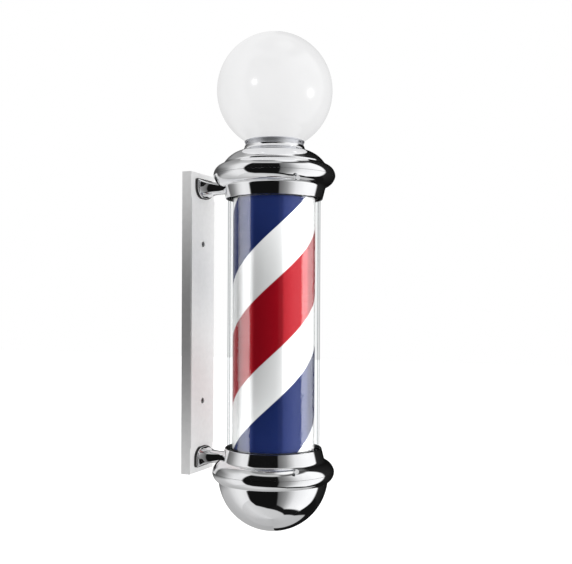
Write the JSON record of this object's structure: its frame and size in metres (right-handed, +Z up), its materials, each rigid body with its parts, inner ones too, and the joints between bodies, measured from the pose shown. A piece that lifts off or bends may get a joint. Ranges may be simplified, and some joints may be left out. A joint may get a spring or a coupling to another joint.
{
  "type": "barber pole light",
  "caption": "Wall-mounted barber pole light: a motor turns a striped drum inside a clear tube between chrome caps, with an opal globe lamp on top.",
  "frame": {"origin": "centre of the mounting plate's back face, on the wall", "axes": "+Z up along the pole, +Y into the wall, the pole stands out towards -Y"},
  "size_m": [0.211, 0.2635, 0.8596],
  "materials": {
    "chrome": "polished chrome plate",
    "satin_chrome": "satin chrome plate",
    "white_paint": "satin white powder coat",
    "zinc_steel": "zinc-plated steel",
    "cast_aluminium": "as-cast, lightly blasted",
    "black_rubber": "matt black rubber",
    "opal_glass": "smooth opal white, nearly opaque",
    "clear_plastic": "clear, polished",
    "striped_film": "glossy film, printed with blue, white and red stripes",
    "drum_plastic": "milky translucent tube",
    "black_plastic": "moulded black",
    "white_plastic": "moulded white",
    "lamp_glass": "frosted white",
    "bronze": "sintered bronze",
    "motor_steel": "drawn steel, dull"
  },
  "bodies": {
    "housing": {"back_plate": "zinc_steel", "wall_plate": "white_paint", "face_strip": "white_paint", "end_screws": "zinc_steel", "cable_grommet": "black_rubber", "upper_arm": "chrome", "lower_arm": "chrome", "upper_arm_gasket": "black_rubber", "lower_arm_gasket": "black_rubber", "arm_tie_tubes": "zinc_steel", "arm_tie_nuts": "zinc_steel", "arm_foot_screws": "zinc_steel", "upper_collar": "chrome", "lower_collar": "chrome", "upper_frame": "cast_aluminium", "lower_frame": "cast_aluminium", "upper_tube_seal": "black_rubber", "lower_tube_seal": "black_rubber", "clear_tube": "clear_plastic", "upper_collar_screws": "chrome", "lower_collar_screws": "chrome", "top_cap": "chrome", "globe_fitter": "satin_chrome", "globe_gasket": "black_rubber", "globe_set_screws": "chrome", "globe": "opal_glass", "lamp_bridge": "zinc_steel", "bridge_screws": "zinc_steel", "globe_lamp_holder": "white_plastic", "globe_bulb": "lamp_glass", "spindle": "zinc_steel", "spindle_nuts": "zinc_steel", "drum_lamp_holder": "white_plastic", "drum_lamp": "lamp_glass", "drum_lamp_end": "white_plastic", "gearbox": "motor_steel", "motor_can": "motor_steel", "motor_screws": "zinc_steel", "bottom_dome": "chrome", "lamp_driver": "black_plastic", "terminal_block": "white_plastic"},
    "drum": {"drum_tube": "drum_plastic", "striped_sleeve": "striped_film", "drum_top_cap": "black_plastic", "top_bush": "bronze", "drum_bottom_cap": "black_plastic", "drive_hub": "cast_aluminium", "hub_screws": "zinc_steel", "hub_grub_screw": "zinc_steel", "motor_shaft": "motor_steel"}
  },
  "joints": [
    {"name": "drum_spin", "type": "hinge", "parent": "housing", "child": "drum", "pos_m": [0, -0.158, 0], "axis": [0, 0, 1], "continuous": true}
  ]
}
